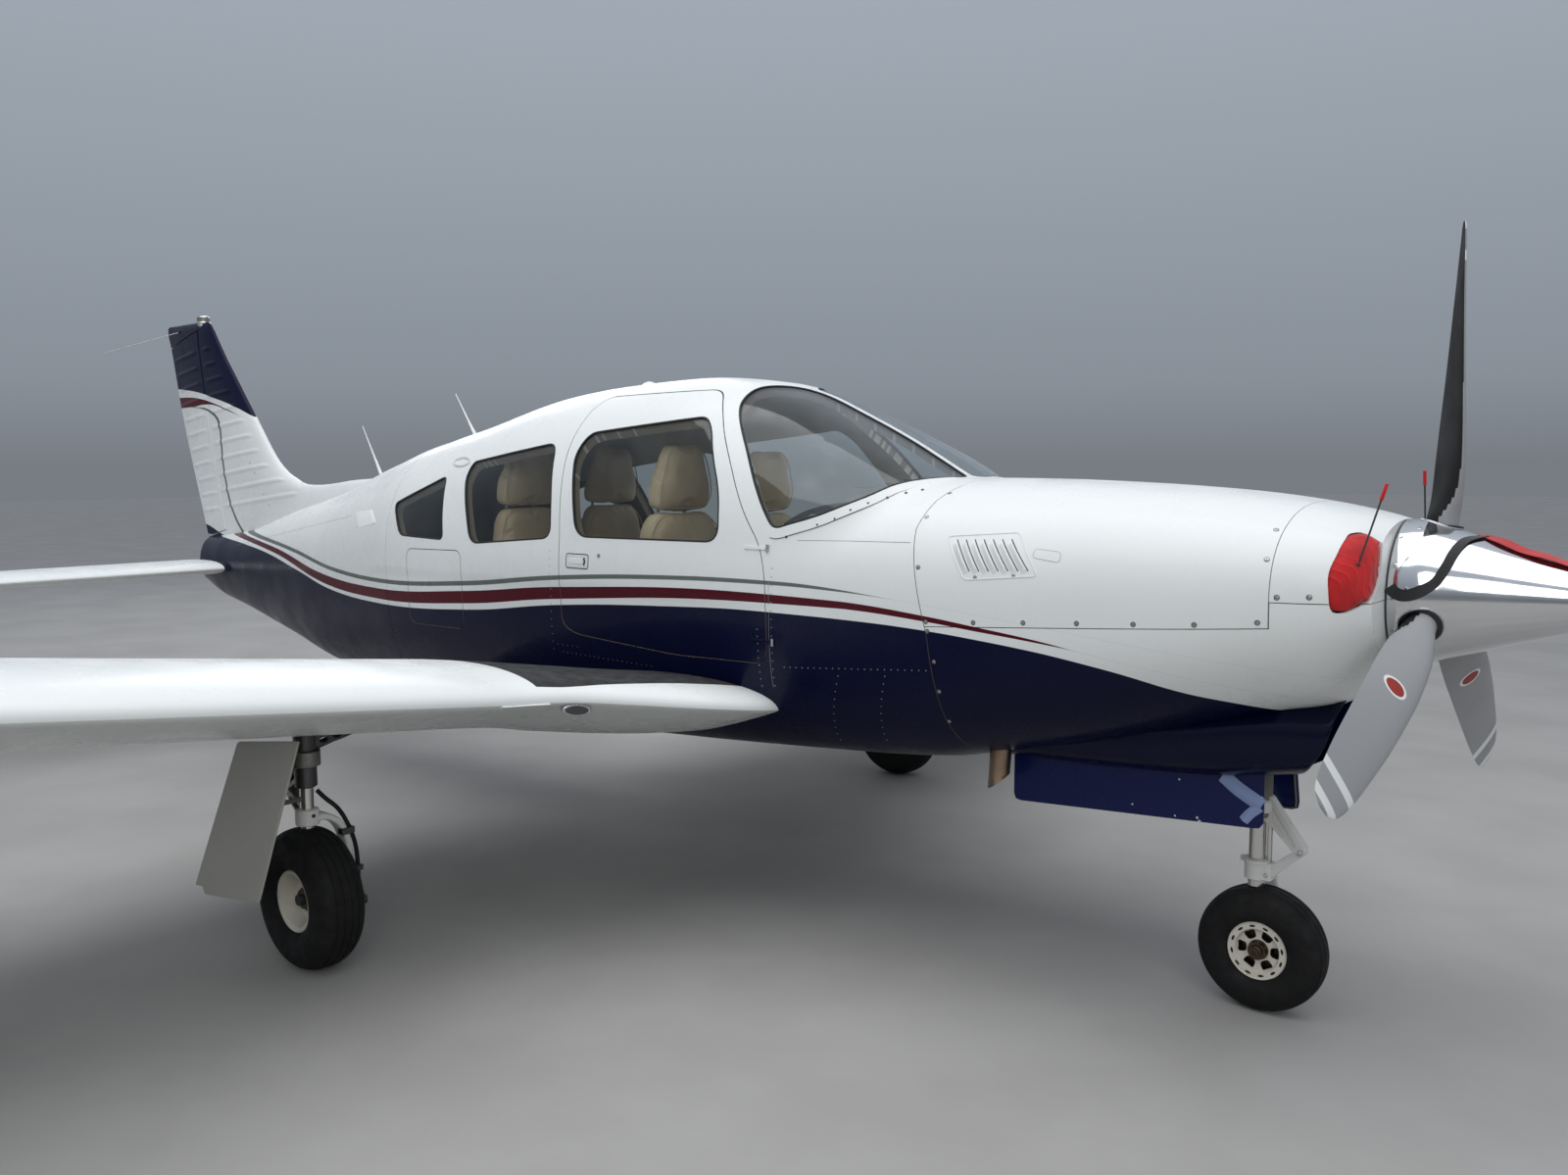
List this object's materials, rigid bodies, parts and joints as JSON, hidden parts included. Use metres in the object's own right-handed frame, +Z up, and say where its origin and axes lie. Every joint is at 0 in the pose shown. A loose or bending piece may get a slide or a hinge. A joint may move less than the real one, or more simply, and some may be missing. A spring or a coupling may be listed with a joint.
{
  "type": "light aircraft",
  "caption": "Low-wing light aircraft on retractable gear, with turning propeller and wheels, steering nose leg, opening doors and moving control surfaces.",
  "frame": {"origin": "on the ground, midway between the spinner's tip and the rudder, and midway between the wing tips", "axes": "+X to the nose, +Y to the aircraft's left wing, +Z up"},
  "size_m": [7.748, 10.8, 2.466],
  "materials": {
    "white_paint": "gloss",
    "navy_paint": "gloss",
    "window_glass": "polished",
    "polished_metal": "polished",
    "blade_paint": "satin",
    "tyre_rubber": "matte",
    "gear_paint": "satin",
    "bare_steel": "satin",
    "seat_leather": "satin",
    "dark_plastic": "matte",
    "red_lens": "gloss",
    "red_fabric": "matte",
    "engine_metal": "matte",
    "exhaust_steel": "satin"
  },
  "bodies": {
    "root": {"fuselage_cabin": "white_paint", "windshield_right": "window_glass", "windshield_left": "window_glass", "front_window_left": "window_glass", "rear_window_right": "window_glass", "rear_window_left": "window_glass", "quarter_window_right": "window_glass", "quarter_window_left": "window_glass", "rear_bulkhead": "white_paint", "tail_cone": "white_paint", "firewall": "bare_steel", "nose_bowl": "white_paint", "cowl_upper": "white_paint", "cowl_lower": "navy_paint", "engine": "engine_metal", "exhaust_pipe": "exhaust_steel", "intake_plug_right": "red_fabric", "intake_plug_left": "red_fabric", "wing_right": "white_paint", "wing_left": "white_paint", "fin": "white_paint", "nose_gear_mount": "bare_steel", "nose_door_right": "navy_paint", "nose_door_left": "navy_paint", "main_leg_right": "gear_paint", "main_leg_left": "gear_paint", "main_door_right": "white_paint", "main_door_left": "white_paint", "seat_front_right": "seat_leather", "seat_front_left": "seat_leather", "seat_rear_right": "seat_leather", "seat_rear_left": "seat_leather", "instrument_panel": "dark_plastic", "control_yoke_right": "dark_plastic", "control_yoke_left": "dark_plastic", "beacon": "red_lens"},
    "propeller": {"spinner": "polished_metal", "propeller_blade_1": "blade_paint", "propeller_blade_2": "blade_paint", "propeller_blade_3": "blade_paint"},
    "nose_gear": {"nose_leg": "gear_paint", "nose_torque_link": "gear_paint"},
    "nose_wheel": {"nose_rim": "gear_paint", "nose_tyre": "tyre_rubber"},
    "main_wheel_right": {"main_right_rim": "gear_paint", "main_right_tyre": "tyre_rubber"},
    "main_wheel_left": {"main_left_rim": "gear_paint", "main_left_tyre": "tyre_rubber"},
    "door": {"cabin_door": "white_paint", "door_window_right": "window_glass"},
    "baggage_hatch": {"baggage_door": "white_paint"},
    "right_aileron": {"aileron_right": "white_paint"},
    "left_aileron": {"aileron_left": "white_paint"},
    "right_flap": {"flap_right": "white_paint"},
    "left_flap": {"flap_left": "white_paint"},
    "rudder_surface": {"rudder": "white_paint"},
    "tailplane": {"stabilator": "white_paint"},
    "tailplane_tab": {"stabilator_tab": "white_paint"}
  },
  "joints": [
    {"name": "propeller_spin", "type": "hinge", "parent": "root", "child": "propeller", "pos_m": [3.314, 0, 1.232], "axis": [1, 0, 0], "continuous": true},
    {"name": "nose_steer", "type": "hinge", "parent": "root", "child": "nose_gear", "pos_m": [2.9, 0, 0.5], "axis": [0, 0, 1], "range_deg": [-30, 30]},
    {"name": "nose_wheel_spin", "type": "hinge", "parent": "nose_gear", "child": "nose_wheel", "pos_m": [2.9, 0, 0.1805], "axis": [0, 1, 0], "continuous": true},
    {"name": "main_wheel_right_spin", "type": "hinge", "parent": "root", "child": "main_wheel_right", "pos_m": [0.5, -1.6, 0.2225], "axis": [0, 1, 0], "continuous": true},
    {"name": "main_wheel_left_spin", "type": "hinge", "parent": "root", "child": "main_wheel_left", "pos_m": [0.5, 1.6, 0.2225], "axis": [0, 1, 0], "continuous": true},
    {"name": "cabin_door_hinge", "type": "hinge", "parent": "root", "child": "door", "pos_m": [1.5, -0.574, 1.1], "axis": [0, 0, 1], "range_deg": [0, 75]},
    {"name": "baggage_door_hinge", "type": "hinge", "parent": "root", "child": "baggage_hatch", "pos_m": [-0.162, -0.556, 1.05], "axis": [0, 0, 1], "range_deg": [0, 100]},
    {"name": "aileron_right_hinge", "type": "hinge", "parent": "root", "child": "right_aileron", "pos_m": [-0.17504, -2.93, 0.95465], "axis": [0.0581, -0.988, 0.1433], "range_deg": [-22, 22]},
    {"name": "aileron_left_hinge", "type": "hinge", "parent": "root", "child": "left_aileron", "pos_m": [-0.17504, 2.93, 0.95465], "axis": [-0.0581, -0.988, -0.1433], "range_deg": [-22, 22]},
    {"name": "flap_right_hinge", "type": "hinge", "parent": "root", "child": "right_flap", "pos_m": [-0.16796, -0.625, 0.62781], "axis": [-0.0009, -0.9901, 0.1407], "range_deg": [0, 40]},
    {"name": "flap_left_hinge", "type": "hinge", "parent": "root", "child": "left_flap", "pos_m": [-0.16796, 0.625, 0.62781], "axis": [0.0009, -0.9901, -0.1407], "range_deg": [0, 40]},
    {"name": "rudder_hinge", "type": "hinge", "parent": "root", "child": "rudder_surface", "pos_m": [-3.24389, 0, 1.195], "axis": [-0.1849, 0, 0.9828], "range_deg": [-27, 27]},
    {"name": "stabilator_hinge", "type": "hinge", "parent": "root", "child": "tailplane", "pos_m": [-3.17, 0, 0.985], "axis": [0, 1, 0], "range_deg": [-2, 14]},
    {"name": "stabilator_tab_hinge", "type": "hinge", "parent": "tailplane", "child": "tailplane_tab", "pos_m": [-3.6, 0, 0.985], "axis": [0, 1, 0], "range_deg": [-1.6, 11.2]}
  ],
  "couplings": [
    {"joint": "aileron_left_hinge", "follows": "aileron_right_hinge", "ratio": -1},
    {"joint": "flap_left_hinge", "follows": "flap_right_hinge", "ratio": 1},
    {"joint": "rudder_hinge", "follows": "nose_steer", "ratio": -0.9},
    {"joint": "stabilator_tab_hinge", "follows": "stabilator_hinge", "ratio": 0.8}
  ]
}
